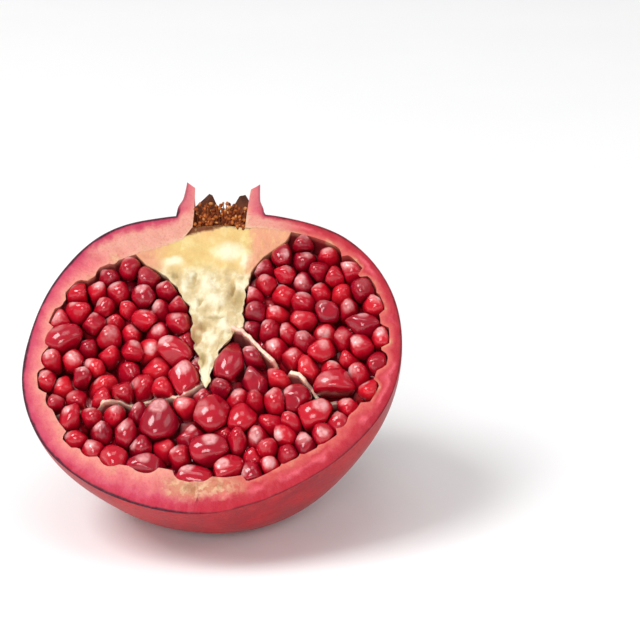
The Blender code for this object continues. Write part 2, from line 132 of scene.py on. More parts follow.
# Lumps that stand out of it: x, z, half width, half height, height
PITH_LUMPS = (
    (-9.0, 22.0, 1.3, 3.2, 0.7),
    (-3.6, 22.2, 1.9, 3.6, 0.9),
    (-1.2, 18.0, 2.4, 2.4, 0.8),
    (1.4, 11.6, 1.6, 2.2, 0.7),
    (-0.8, 7.2, 1.4, 2.6, 0.7),
    (-12.5, 28.4, 3.4, 1.9, 0.6),
    (1.4, 31.5, 5.0, 3.2, 0.6),
    (5.4, 29.5, 1.6, 3.0, 0.5),
    (-0.9, 1.0, 0.8, 2.4, 0.4),
)

# Thin walls between the chambers, as paths across the cut face from the core to the rind: x and z,
# and for a wall that is drawn from its path how far behind the cut its torn edge lies there
WALL_THICKNESS = 1.1
WALL_LEFT = (
    (-1.0, -3.0, 2.6), (-5.7, -8.3, -0.4), (-8.5, -8.6, 1.4), (-13.1, -8.2, 3.8), (-18.0, -10.6, 4.0),
    (-22.0, -9.8, 2.0), (-25.0, -11.2, -0.7), (-27.5, -12.4, 3.0), (-33.0, -11.6, 4.8), (-52.0, -18.0, 4.8),
)
WALL_RIGHT = (
    (-1.0, 9.0), (4.0, 10.6), (6.7, 9.8), (11.8, 4.6), (15.6, 1.4), (17.6, 0.2), (20.0, -1.5), (24.0, -3.4),
    (27.0, -6.4), (33.0, -6.0), (52.0, -13.0),
)
WALL_UP = ((-1.0, -3.0), (-1.0, 9.0), (-1.0, 35.0))
# The right wall as it is drawn: it starts beside the pith and is torn back deep in two places
TORN_RIGHT = (
    (4.0, 10.6, -0.9), (6.7, 9.8, -1.0), (11.8, 4.6, -1.0), (15.0, 1.9, -0.5), (16.2, 1.0, 3.6),
    (18.4, -0.4, 3.8), (19.4, -1.1, -0.6), (21.4, -1.5, -1.0), (23.0, -3.0, -0.8), (24.4, -3.6, 3.4),
    (27.0, -6.4, 4.2), (33.0, -6.0, 4.8), (52.0, -13.0, 4.8),
)
TORN_STEP = 0.5

# Clear space that the arils keep to the rind, the pith and the walls
GAP = 0.3

# The large arils that show best: x, z, angle of the long axis, half length, half width, depth
MAIN_ARILS = (
    (-9.4, 2.9, -35, 4.2, 3.0, 0.8),
    (-6.6, -3.4, -72, 4.9, 3.1, 1.4),
    (1.0, -12.2, 70, 4.7, 4.1, 0.9),
    (-11.6, -15.2, 80, 5.6, 3.8, 1.2),
    (4.6, 1.6, 80, 5.2, 3.3, 2.0),
    (25.4, -11.6, 35, 3.9, 3.6, 1.2),
    (20.0, -7.4, 70, 3.4, 3.0, 2.4),
    (8.6, -13.0, 60, 3.8, 3.0, 2.2),
    (1.9, -21.3, 8, 4.8, 3.3, 1.8),
    (-1.2, -28.4, -6, 5.2, 2.7, 2.6),
    (6.4, -26.4, 25, 4.3, 2.9, 2.2),
    (-13.4, -25.6, 10, 4.4, 2.9, 2.4),
    (-21.6, -25.0, 40, 3.4, 3.1, 2.4),
    (30.2, -3.0, 10, 4.4, 3.4, 1.2),
    (35.2, 13.6, 0, 4.2, 2.9, 1.8),
    (-36.9, 6.4, 30, 4.2, 3.4, 1.6),
    (10.4, -3.0, -60, 4.4, 2.8, 2.6),
    (-3.9, -18.2, 65, 3.6, 2.5, 3.0),
)
# The smaller arils that are strewn between them
ARIL_SEED = 7
ARIL_TRIES = 9000
ARIL_HALF_LENGTH = (3.5, 4.6)
ARIL_HALF_WIDTH = (2.3, 2.8)
ARIL_DEPTH = (1.4, 3.6)
ARIL_ROOF_LIFT = 1.5
# Shares of the distance at which two arils touch: to be strewn, and where the pushing stops
ARIL_CROWDING = 0.76
ARIL_TOUCHING = 0.97
# Shares of an aril's reach that it keeps from a wall: to be strewn, and after the pushing
ARIL_WALL_START = 0.5
ARIL_WALL_END = 0.62
ARIL_ROUNDS = 24
MAIN_ARIL_GIVE = 0.15
# Arils whose centres lie further apart than this in x can't touch
ARIL_NEAR = 9
# How an aril swells against its neighbours, and how far it may stand out of the cut
ARIL_SWELL = 1.3
ARIL_SQUEEZE = 22.0
ARIL_FACETS = 6
ARIL_FACET_CUT = (0.82, 1.0)
ARIL_GAP = 0.2
ARIL_FRONT = 2.1

# The second layer, and the pulp behind it, painted dark as the shade deep in the gaps
DEEP_ARIL_TRIES = 5000
DEEP_ARIL_DEPTH = 7.0
DEEP_ARIL_SIZE = (3.6, 3.0)
PULP_DEPTH = 7.5

# Withered stamens in the crown
STAMEN_SEED = 3
STAMEN_COUNT = 320
STAMEN_POINTS = 6
STAMEN_RADIUS = 0.16
STAMEN_HEIGHT = (0.8, 7.6)
STAMEN_FOOT_Z = 37.4
TUFT_RADIUS = 5.9
TUFT_LIMIT = 6.2
ANTHER_RADIUS = (0.28, 0.52)

# The camera of the photograph: aimed a little off the fruit's centre, which lies left of the middle
CAMERA_LENS = 128.0
CAMERA_DISTANCE = 0.55
CAMERA_PLACE_AZ_EL = (8.5, 22.0)
CAMERA_AIM_AZ_EL = (5.57, 20.89)


def smooth(edge_low, edge_high, value):
    share = min(1.0, max(0.0, (value - edge_low) / (edge_high - edge_low)))
    return share * share * (3 - 2 * share)


def by_elevation(values, elevation):
    """Smooth curve through values given at ELEVATIONS."""
    place = (elevation - ELEVATIONS[0]) / (ELEVATIONS[1] - ELEVATIONS[0])
    index = int(min(max(math.floor(place), 0), len(values) - 2))
    share = place - index
    before = values[max(index - 1, 0)]
    start, end = values[index], values[index + 1]
    after = values[min(index + 2, len(values) - 1)]
    return start + 0.5 * share * (
        end - before
        + share * (2 * before - 5 * start + 4 * end - after + share * (3 * (start - end) + after - before))
    )


def side_blend(right, left, elevation, azimuth):
    share = (1 + math.cos(azimuth)) / 2
    return share * by_elevation(right, elevation) + (1 - share) * by_elevation(left, elevation)


def skin_radius(elevation, azimuth):
    rib = RIB_DEPTH * (math.cos(RIB_COUNT * azimuth) - 1) / 2 * math.cos(math.radians(elevation)) ** 2
    sides = side_blend(SKIN_RIGHT, SKIN_LEFT, elevation, azimuth)
    return sides + (by_elevation(SKIN_BACK, elevation) - sides) * math.sin(azimuth) ** 2 + rib


def inner_radius(elevation, azimuth):
    return skin_radius(elevation, azimuth) - side_blend(RIND_RIGHT, RIND_LEFT, elevation, azimuth)


def turned(reach, azimuth, height, shift=0.0):
    """The point at a reach from the axis; sin of a half turn is held at 0 to keep the cut face flat."""
    back = 0.0 if azimuth in (0.0, math.pi) else reach * math.sin(azimuth)
    return Vector((reach * math.cos(azimuth) + shift, back, height))


def body_point(radius, elevation, azimuth):
    angle = math.radians(elevation)
    shift = CROWN_X * smooth(50, NECK_ELEVATION, elevation)
    return turned(radius * math.cos(angle), azimuth, radius * math.sin(angle), shift)


def rim_height(azimuth):
    """The crown's edge: a pointed sepal every sixth of a turn, with a notch between two."""
    sixth = math.pi / 3
    off_middle = abs((azimuth + sixth / 2) % sixth - sixth / 2) / (sixth / 2)
    tip = TIP_Z + BACK_TIP_RISE * math.sin(azimuth) ** 2
    return NOTCH_Z + (tip - NOTCH_Z) * (1 - off_middle) ** 0.85


def crown_point(outer, share, azimuth):
    """A point on the crown's outer or inner wall, share 0 at its foot and 1 at its edge."""
    rim = rim_height(azimuth) - (0 if outer else TIP_SLANT)
    foot = CROWN_FOOT_Z if outer else CROWN_FLOOR_Z
    height = foot + (rim - foot) * share
    if outer:
        foot_flare = FOOT_FLARE * (1 - smooth(0, 1, (height - CROWN_FOOT_Z) / FOOT_HEIGHT))
        wall = CROWN_OUTER + TIP_FLARE * smooth(NOTCH_Z - 2, TIP_Z, height) + foot_flare
    else:
        lip = CROWN_OUTER + TIP_FLARE * smooth(NOTCH_Z - 2, TIP_Z, rim) - TIP_WALL
        wall = CROWN_INNER + (lip - CROWN_INNER) * share ** 2
    return turned(wall, azimuth, height, CROWN_X)


def to_path(point, path):
    """The nearest point of a path to a point of the plane."""
    best = None
    for start, end in zip(path, path[1:]):
        start, end = Vector(start[:2]), Vector(end[:2])
        along = end - start
        share = min(1.0, max(0.0, (point - start).dot(along) / along.length_squared))
        near = start + along * share
        if best is None or (near - point).length < (best - point).length:
            best = near
    return best


def elevation_of(spot):
    """The angle of a point above the fruit's waist, in degrees."""
    return math.degrees(math.atan2(spot.z, math.hypot(spot.x, spot.y)))


def surroundings(centre):
    """The surfaces round a point inside the rind, each as its distance and the way towards it."""
    radius = centre.length
    elevation = elevation_of(centre)
    azimuth = math.atan2(max(centre.y, 0), centre.x)
    found = [(inner_radius(elevation, azimuth) - GAP - radius, centre / radius)]
    flat = Vector((centre.x, centre.z))
    for path in (WALL_LEFT, WALL_RIGHT, WALL_UP):
        way = to_path(flat, path) - flat
        half = WALL_THICKNESS / 2 * (path != WALL_LEFT)
        found.append((way.length - half - GAP, Vector((way.x, 0, way.y)) / way.length))
    back = Vector((centre.x - PITH_X, centre.y, 0))
    share = (1 + back.x / back.length) / 2
    profile = [(share * right + (1 - share) * left, height) for height, left, right in PITH_PROFILE]
    here = Vector((back.length, centre.z))
    way = to_path(here, profile) - here
    reach = float(np.interp(centre.z, [p[1] for p in profile], [p[0] for p in profile]))
    sign = -1 if here.x < reach and profile[0][1] < centre.z < profile[-1][1] else 1
    toward = (back.normalized() * way.x + Vector((0, 0, way.y))) / max(way.length, 1e-6) * sign
    found.append((way.length * sign - GAP, toward))
    return found


def chamber_of(x, z):
    wall = WALL_LEFT[::-1] if x < WALL_LEFT[0][0] else WALL_RIGHT
    if z < float(np.interp(x, [point[0] for point in wall], [point[1] for point in wall])):
        return "arils_lower"
    return "arils_left" if x < WALL_LEFT[0][0] else "arils_right"


class Aril:
    """One aril: its centre, the direction of its long axis, and its half length and half width."""

    def __init__(self, centre, axis, length, width):
        self.centre, self.axis, self.length, self.width = centre, axis.normalized(), length, width
        self.chamber = chamber_of(centre.x, centre.z)

    def reach(self, way):
        """How far it extends from its centre along a unit direction."""
        lengthwise = self.axis.dot(way)
        return math.sqrt((self.length * lengthwise) ** 2 + self.width ** 2 * (1 - lengthwise ** 2))


def crowding(one, other):
    """The distance of two arils as a share of the distance at which they touch, and the way across."""
    way = other.centre - one.centre
    distance = max(way.length, 1e-6)
    way = way / distance
    return distance / (one.reach(way) + other.reach(way)), way


def fits(aril, others, share):
    """Whether an aril keeps a share of the touching distance from every other one."""
    near = [other for other in others if abs(other.centre.x - aril.centre.x) < ARIL_NEAR]
    return all(crowding(aril, other)[0] > share for other in near)


def scatter_arils():
    """The top layer: the main arils, then smaller ones wherever they fit, then all pushed apart."""
    rng = np.random.default_rng(ARIL_SEED)
    arils = []
    for x, z, angle, length, width, depth in MAIN_ARILS:
        angle = math.radians(angle)
        axis = Vector((math.cos(angle), 0.15, math.sin(angle)))
        arils.append(Aril(Vector((x, depth, z)), axis, length, width))
    fixed = len(arils)
    for _ in range(ARIL_TRIES):
        x, z = rng.uniform((-45, -38), (45, 42))
        depth = rng.uniform(*ARIL_DEPTH)
        length, width = rng.uniform(*ARIL_HALF_LENGTH), rng.uniform(*ARIL_HALF_WIDTH)
        outward = math.atan2(z - 4, x + 1) + rng.normal(0, 0.5)
        lean = math.radians(min(80, abs(rng.normal(28, 16))))
        sideways = math.sin(lean)
        axis = Vector((math.cos(outward) * sideways, math.cos(lean), math.sin(outward) * sideways))
        walls = surroundings(Vector((x, depth, z)))
        depth -= ARIL_ROOF_LIFT * smooth(8, 18, z) * smooth(7, 3.5, min(walls[0][0], walls[-1][0]))
        aril = Aril(Vector((x, depth, z)), axis, length, width)
        if any(distance < ARIL_WALL_START * aril.reach(way) for distance, way in surroundings(aril.centre)):
            continue
        if fits(aril, arils, ARIL_CROWDING):
            arils.append(aril)
    for _ in range(ARIL_ROUNDS):
        moves = [Vector() for _ in arils]
        for i, aril in enumerate(arils):
            for distance, way in surroundings(aril.centre):
                short = ARIL_WALL_END * aril.reach(way) - distance
                if short > 0:
                    moves[i] -= way * short * 0.5
            for j in range(i):
                if abs(arils[j].centre.x - aril.centre.x) > ARIL_NEAR:
                    continue
                share, way = crowding(aril, arils[j])
                if share < ARIL_TOUCHING:
                    push = way * (ARIL_TOUCHING - share) * (aril.reach(way) + arils[j].reach(way)) * 0.3
                    moves[i] -= push * (1 if i >= fixed else MAIN_ARIL_GIVE)
                    moves[j] += push * (1 if j >= fixed else MAIN_ARIL_GIVE)
        for aril, move in zip(arils, moves):
            aril.centre += Vector((move.x, 0.3 * move.y, move.z))
    for aril in arils:
        aril.centre.y = max(aril.centre.y, 1.1 * aril.reach(Vector((0, -1, 0))) - ARIL_FRONT)
    return arils


def scatter_deep_arils():
    """The layer under the top one, which shows through the gaps."""
    rng = np.random.default_rng(ARIL_SEED + 1)
    arils = []
    for _ in range(DEEP_ARIL_TRIES):
        x, z = rng.uniform((-43, -36), (43, 40))
        centre = Vector((x, DEEP_ARIL_DEPTH + rng.uniform(-0.8, 0.8), z))
        aril = Aril(centre, Vector((rng.normal(), rng.normal(), rng.normal())), *DEEP_ARIL_SIZE)
        if any(distance < 1.8 for distance, way in surroundings(centre)):
            continue
        if fits(aril, arils, 0.8):
            arils.append(aril)
    return arils


# Meshes


def add_object(name, data):
    made = bpy.data.objects.new(name, data)
    bpy.context.scene.collection.objects.link(made)
    return made


def stand(name, mesh, materials):
    """A finished mesh, in the fruit's frame and in metres, as an object leaned into its place."""
    place = Matrix.Translation(FRUIT_CENTRE) @ Matrix.Rotation(-math.radians(LEAN_DEG), 4, "X")
    bmesh.ops.transform(mesh, matrix=place, verts=mesh.verts)
    data = bpy.data.meshes.new(name)
    mesh.to_mesh(data)
    mesh.free()
    data.shade_smooth()
    made = add_object(name, data)
    for material in materials:
        data.materials.append(material)
    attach(made, "root")
    return made


def spun(row_count, column_count, turn, point):
    """A line of row_count vertices spun about Z, then each vertex moved to point(row, azimuth)."""
    mesh = bmesh.new()
    row_of = mesh.verts.layers.int.new("row")
    line = []
    for row in range(row_count):
        vertex = mesh.verts.new((1.0, 0.0, row))
        vertex[row_of] = row
        line.append(vertex)
    edges = [mesh.edges.new(pair) for pair in zip(line, line[1:])]
    whole = turn > 6
    bmesh.ops.spin(mesh, geom=line + edges, axis=(0, 0, 1), cent=(0, 0, 0), angle=turn, steps=column_count,
                   use_merge=whole)
    for vertex in mesh.verts:
        azimuth = math.atan2(vertex.co.y, vertex.co.x) % math.tau
        column = round(azimuth / turn * column_count) % round(math.tau / turn * column_count)
        vertex.co = point(vertex[row_of], turn * column / column_count) * MM
    bmesh.ops.remove_doubles(mesh, verts=mesh.verts, dist=0.002 * MM)
    return mesh


def cut_flat(mesh, spot, way, snap=0.0):
    """Cuts off what lies beyond a plane, and closes the cut."""
    cut = bmesh.ops.bisect_plane(
        mesh, geom=mesh.verts[:] + mesh.edges[:] + mesh.faces[:],
        plane_co=spot, plane_no=way, clear_outer=True, dist=snap,
    )
    rim = [item for item in cut["geom_cut"] if isinstance(item, bmesh.types.BMEdge)]
    bmesh.ops.contextual_create(mesh, geom=rim)


def line_distance(spot, line):
    """How far a spot of the cut face is from a line of points."""
    points = np.array([(p.x, p.z) for p in line])
    start, along = points[:-1], np.diff(points, axis=0)
    here = np.array((spot.x, spot.z)) - start
    share = np.clip((here * along).sum(1) / np.maximum((along ** 2).sum(1), 1e-9), 0, 1)
    return float(np.hypot(*(here - along * share[:, None]).T).min())


def socket(spot, radius, arils):
    """The inner wall's radius at a spot: the flesh rises in a cusp wherever no aril presses on it."""
    way = spot.normalized()
    total = math.exp(-CUSP_HEIGHT * CUSP_SOFTNESS)
    for aril in arils:
        if (aril.centre - spot).length_squared > 60:
            continue
        off = aril.centre - way * aril.centre.dot(way)
        covered = off.length / (aril.reach(off.normalized()) * 1.15)
        if covered < 1:
            top = aril.centre.dot(way) + aril.reach(way) * math.sqrt(1 - covered ** 2) * 1.1
            total += math.exp(min(0.0, top + 0.1 - radius) * CUSP_SOFTNESS)
    return radius + min(0.0, math.log(total) / CUSP_SOFTNESS)


def make_rind(arils, materials):
    """The shell with its crown, its cut edge gridded across so that its colour can follow the depth."""
    side_rows = BODY_ROWS + CROWN_ROWS

    def point(row, azimuth):
        outer = row < side_rows
        row = row if outer else 2 * side_rows - 1 - row
        if row >= BODY_ROWS:
            return crown_point(outer, (row - BODY_ROWS) / (CROWN_ROWS - 1), azimuth)
        share = row / (BODY_ROWS - 1)
        if outer:
            elevation = -90 + (NECK_ELEVATION + 90) * share
            return body_point(skin_radius(elevation, azimuth), elevation, azimuth)
        elevation = -90 + (ROOM_TOP_ELEVATION + 90) * share
        radius = inner_radius(elevation, azimuth)
        near_cut = min(azimuth, math.pi - azimuth) < 0.5
        weight = smooth(54, 44, elevation) * near_cut
        if weight:
            radius += weight * (socket(body_point(radius, elevation, azimuth), radius, arils) - radius)
        return body_point(radius, elevation, azimuth)

    mesh = spun(2 * side_rows, COLUMNS, math.pi, point)
    row_of = mesh.verts.layers.int["row"]
    for side in (1, -1):
        chains = []
        for outer in (True, False):
            chains += [
                edge for edge in mesh.edges
                if edge.is_boundary
                and all(side * (v.co.x - CROWN_X * MM * (v.co.z > 0.03)) > -1e-7 for v in edge.verts)
                and all((v[row_of] < side_rows) == outer for v in edge.verts)
            ]
        bridged = bmesh.ops.bridge_loops(mesh, edges=chains)
        across = {edge for face in bridged["faces"] for edge in face.edges} - set(chains)
        bmesh.ops.subdivide_edges(mesh, edges=list(across), cuts=5, use_grid_fill=True)
    bmesh.ops.recalc_face_normals(mesh, faces=mesh.faces)

    depth_of = mesh.verts.layers.float.new("depth")
    share_of = mesh.verts.layers.float.new("share")
    for vertex in mesh.verts:
        vertex[depth_of], vertex[share_of] = (0, 0) if vertex[row_of] < side_rows else (9, 1)
    for azimuth in (0.0, math.pi):
        outside = [point(row, azimuth) for row in range(side_rows)]
        inside = [point(row, azimuth) for row in range(side_rows, 2 * side_rows)]
        for vertex in mesh.verts:
            spot = vertex.co / MM
            if abs(spot.y) > 1e-4 or (spot.x < 0) != (azimuth > 0):
                continue
            depth, left = line_distance(spot, outside), line_distance(spot, inside)
            vertex[depth_of] = depth
            vertex[share_of] = depth / (depth + left)
            relief = 0.3 * smooth(0.2, 1.6, min(depth, left))
            vertex.co.y += relief * MM * noise.fractal(spot / 2.4, 1.0, 2.0, 3)
    for face in mesh.faces:
        on_cut = all(abs(vertex.co.y) < 0.5 * MM for vertex in face.verts) and abs(face.normal.y) > 0.7
        rows = [vertex[row_of] for vertex in face.verts]
        if on_cut:
            face.material_index = 1
        elif max(rows) < side_rows:
            face.material_index = 0
        elif max(rows) < side_rows + CROWN_ROWS + 1:
            face.material_index = 2
        else:
            face.material_index = 1
    down = Vector((0, math.sin(math.radians(LEAN_DEG)), -math.cos(math.radians(LEAN_DEG))))
    cut_flat(mesh, down * FRUIT_CENTRE[2], down, 0.01 * MM)
    made = stand("rind_shell", mesh, materials)
    made.data.set_sharp_from_angle(angle=math.radians(50))
    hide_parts("rind")


def profile_at(share):
    """The pith's height and its reach to the left and to the right, along its profile."""
    place = share * (len(PITH_PROFILE) - 1)
    index = min(int(place), len(PITH_PROFILE) - 2)
    part = place - index
    part = part * part * (3 - 2 * part) * 0.35 + part * 0.65
    low, high = PITH_PROFILE[index], PITH_PROFILE[index + 1]
    return [a + (b - a) * part for a, b in zip(low, high)]


def mound(spot, item):
    """How far up a lump or a hollow a spot of the cut face is, from 0 outside it to 1 in its middle."""
    x, z, half_width, half_height = item[:4]
    shift = noise.noise_vector(Vector((spot.x, x, spot.z)) / 1.4) * 0.7
    across, up = (spot.x + shift.x - x) / half_width, (spot.z + shift.z - z) / half_height
    return 1 - smooth(0.0, 1.5, math.hypot(across, up))


def room_limit(spot, slack):
    """A spot held inside the hollow of the rind, and beside the crown under the flesh that roofs it."""
    if abs(spot.y) > 1e-6:
        azimuth = math.atan2(max(spot.y, 0), spot.x)
    else:
        azimuth = 0.0 if spot.x > 0 else math.pi
    shift = Vector((CROWN_X * smooth(50, NECK_ELEVATION, elevation_of(spot)), 0, 0))
    arm = spot - shift
    if elevation_of(arm) < ROOM_TOP_ELEVATION:
        limit = inner_radius(elevation_of(arm), azimuth) + slack
        return shift + arm * min(1.0, limit / arm.length)
    edge = body_point(inner_radius(ROOM_TOP_ELEVATION, azimuth), ROOM_TOP_ELEVATION, azimuth)
    across = math.hypot(spot.x - CROWN_X, spot.y) - CROWN_INNER - slack
    share = min(1.0, across / (math.hypot(edge.x - CROWN_X, edge.y) - CROWN_INNER))
    roof = CROWN_FLOOR_Z + (edge.z - CROWN_FLOOR_Z) * share + slack
    return Vector((spot.x, spot.y, min(spot.z, roof) if across > 0 else spot.z))


def make_pith(materials):
    """The spongy core, its front lumpy and a little hollow where the knife tore it."""
    rows, columns = 90, 96
    noise.seed_set(PITH_SEED)
    rims = [
        [body_point(inner_radius(elevation, azimuth), elevation, azimuth) for elevation in range(20, 77, 2)]
        for azimuth in (0.0, math.pi)
    ]

    def point(row, azimuth):
        height, left, right = profile_at(row / (rows - 1))
        share = (1 + math.cos(azimuth)) / 2
        reach = share * right + (1 - share) * left
        if 0 < row < rows - 1:
            ragged = noise.noise(Vector((math.cos(azimuth) * 2, 4.0, height / 1.7)))
            reach += 0.7 * ragged * smooth(30, 24, height)
        wander = 0.9 * noise.noise(Vector((7.0, 2.0, height / 3.6))) * smooth(16, 8, height)
        spot = Vector((reach * math.cos(azimuth) + PITH_X + wander, 0, height))
        spot.z += SHOULDER_RISE * smooth(*SHOULDER_START, abs(spot.x - CROWN_X)) * smooth(35, 38, height)
        if 1e-6 < azimuth < math.pi - 1e-6:
            spot.y = reach * math.sin(azimuth)
            return room_limit(spot, -PITH_OFF_RIND) if height > 20 and 0 < row < rows - 1 else spot
        if height > 20 and 0 < row < rows - 1:
            spot = room_limit(spot, PITH_UNDER_FLESH)
        grain = noise.fractal(Vector((spot.x / 1.3, 1, spot.z / 3.6)), 1.0, 2.0, 3) * 0.4
        grain += noise.fractal(spot / 6.0, 1.0, 2.0, 2) * 0.6
        hollow = sum(item[4] * mound(spot, item) for item in PITH_HOLLOWS)
        lump = sum(item[4] * mound(spot, item) for item in PITH_LUMPS)
        inward = min(1.0, -1.6 * math.sin(azimuth))
        inward *= smooth(-0.2, 4.0, line_distance(spot, rims[spot.x < 0]) if height > 24 else 9)
        spot.y = inward * (0.35 + grain + hollow - lump) + 0.03 * (1 - inward) * smooth(26, 30, height)
        return spot

    mesh = spun(rows, columns, math.tau, point)
    bmesh.ops.recalc_face_normals(mesh, faces=mesh.faces)
    hollow_of = mesh.verts.layers.float.new("hollow")
    lump_of = mesh.verts.layers.float.new("lump")
    for vertex in mesh.verts:
        spot = vertex.co / MM
        if spot.y < 2.5:
            vertex[hollow_of] = max(mound(spot, item) for item in PITH_HOLLOWS)
            vertex[lump_of] = max(mound(spot, item) for item in PITH_LUMPS)
    made = stand("pith_core", mesh, materials)
    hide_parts("pith")


def make_wall(name, path, thickness, materials):
    """A thin wall: its torn front edge is ragged, and it waves a little on its way in."""
    points = []
    for start, end in zip(path, path[1:]):
        start, end = Vector(start), Vector(end)
        count = max(1, round((end - start).length / TORN_STEP))
        points += [start.lerp(end, i / count) for i in range(count)]
    points.append(Vector(path[-1]))
    mesh = bmesh.new()
    behind = mesh.verts.layers.float.new("behind")
    line = []
    for spot in points:
        ragged = 0.9 * noise.noise(Vector((spot.x / 1.7, spot.y / 1.7, 3.0)))
        line.append(mesh.verts.new((spot.x, spot.z + ragged, spot.y)))
    edges = [mesh.edges.new(pair) for pair in zip(line, line[1:])]
    geometry = edges
    for deeper in (0.5, 0.8, 1.2, 1.8, 2.5, 3.5, 5.0):
        pushed = bmesh.ops.extrude_edge_only(mesh, edges=geometry)
        moved = [item for item in pushed["geom"] if isinstance(item, bmesh.types.BMVert)]
        geometry = [
            item for item in pushed["geom"]
            if isinstance(item, bmesh.types.BMEdge) and all(v in moved for v in item.verts)
        ]
        bmesh.ops.translate(mesh, verts=moved, vec=(0, deeper, 0))
        for vertex in moved:
            vertex[behind] += deeper
    in_rind = []
    for vertex in mesh.verts:
        wave = 0.35 * noise.noise(vertex.co / 3.0)
        vertex.co.z += wave
        vertex.co.x += 0.5 * wave
        spot = vertex.co
        elevation = elevation_of(spot)
        if spot.length > inner_radius(elevation, math.atan2(max(spot.y, 0), spot.x)) + 0.2:
            in_rind.append(vertex)
    bmesh.ops.delete(mesh, geom=in_rind, context="VERTS")
    bmesh.ops.recalc_face_normals(mesh, faces=mesh.faces)
    sheet = kdtree.KDTree(len(mesh.verts))
    depths = [vertex[behind] for vertex in mesh.verts]
    for index, vertex in enumerate(mesh.verts):
        sheet.insert(vertex.co, index)
    sheet.balance()
    bmesh.ops.solidify(mesh, geom=mesh.faces[:], thickness=thickness)
    for vertex in mesh.verts:
        vertex[behind] = depths[sheet.find(vertex.co)[1]]
    bmesh.ops.recalc_face_normals(mesh, faces=mesh.faces)
    bmesh.ops.scale(mesh, verts=mesh.verts, vec=(MM, MM, MM))
    made = stand(name, mesh, materials)
    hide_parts("pith")


def add_aril(mesh, aril, near, subdivisions, rng, layers):
    """Adds one aril: an ellipsoid pressed flat where its neighbours and the walls are, and faceted."""
    tone, pale_spot_shows = rng.uniform(), rng.uniform()
    tone *= 0.35 + 0.65 * smooth(3.0, 8.0, surroundings(aril.centre)[-1][0])
    tone *= 0.7 + 0.3 * smooth(-22, -6, aril.centre.z)
    # Pale spot: partly the kernel showing through, partly a painted highlight set out of the cut face and
    # up to the left
    pale_spot_way = Vector((rng.normal(-0.25, 0.35), -1, rng.normal(0.3, 0.35))).normalized()
    limits = [(distance, way) for distance, way in surroundings(aril.centre) if distance < 8]
    for other in near:
        if other is aril or (other.centre - aril.centre).length > 12:
            continue
        way = other.centre - aril.centre
        distance = way.length
        way = way / distance
        share = aril.reach(way) / (aril.reach(way) + other.reach(way))
        limits.append((distance * share - ARIL_GAP / 2, way))
    for _ in range(ARIL_FACETS if aril.length < 4.7 and aril.width < 3 else 1):
        way = Vector((rng.normal(), -abs(rng.normal(0, 0.8)), rng.normal())).normalized()
        limits.append((aril.reach(way) * rng.uniform(*ARIL_FACET_CUT), way))
    ball = bmesh.ops.create_icosphere(mesh, subdivisions=subdivisions, radius=1.0)
    for vertex in ball["verts"]:
        way = vertex.co.normalized()
        lengthwise = aril.axis.dot(way)
        full = 1 / math.sqrt((lengthwise / aril.length) ** 2 + (1 - lengthwise ** 2) / aril.width ** 2)
        full *= ARIL_SWELL - (ARIL_SWELL - 1.1) * max(0, -way.y)
        total = full ** -ARIL_SQUEEZE
        for distance, normal in limits:
            facing = normal.dot(way)
            if facing > 0.05:
                total += (max(distance, 0.4) / facing) ** -ARIL_SQUEEZE
        vertex.co = (aril.centre + way * total ** (-1 / ARIL_SQUEEZE)) * MM
        vertex[layers[0]] = tone
        vertex[layers[1]] = smooth(0.84, 0.96, way.dot(pale_spot_way)) * smooth(0.0, 0.5, pale_spot_shows)
        # Painted shade: 1 on the sides that face away from the cut, where neighbouring arils shade them
        vertex[layers[2]] = smooth(0.55, -0.25, -way.y)


def make_arils(name, arils, near, subdivisions, materials, chamber=None):
    """One mesh of the arils of a chamber, or of all of them, with the main arils finer."""
    rng = np.random.default_rng(ARIL_SEED + len(name))
    mesh = bmesh.new()
    layers = [mesh.verts.layers.float.new(key) for key in ("tone", "seed_and_highlight", "side")]
    for index, aril in enumerate(arils):
        if chamber in (None, aril.chamber):
            finer = 1 if near is arils and index < len(MAIN_ARILS) else 0
            add_aril(mesh, aril, near, subdivisions + finer, rng, layers)
    made = stand(name, mesh, materials)
    return made


def make_shaded_pulp(materials):
    """The pulp behind the arils that show, a dark backing that stands for the shade deep in the gaps."""
    rows = 40

    def point(row, azimuth):
        elevation = -88 + (70 + 88) * row / (rows - 1)
        radius = inner_radius(elevation, azimuth) - 1.0
        if row in (0, rows - 1):
            return Vector((0, 0, radius * math.sin(math.radians(elevation))))
        return body_point(radius, elevation, azimuth)

    mesh = spun(rows, 40, math.pi, point)
    bmesh.ops.holes_fill(mesh, edges=[edge for edge in mesh.edges if edge.is_boundary], sides=0)
    cut_flat(mesh, (0, PULP_DEPTH * MM, 0), (0, -1, 0))
    bmesh.ops.recalc_face_normals(mesh, faces=mesh.faces)
    made = stand("pulp", mesh, materials)


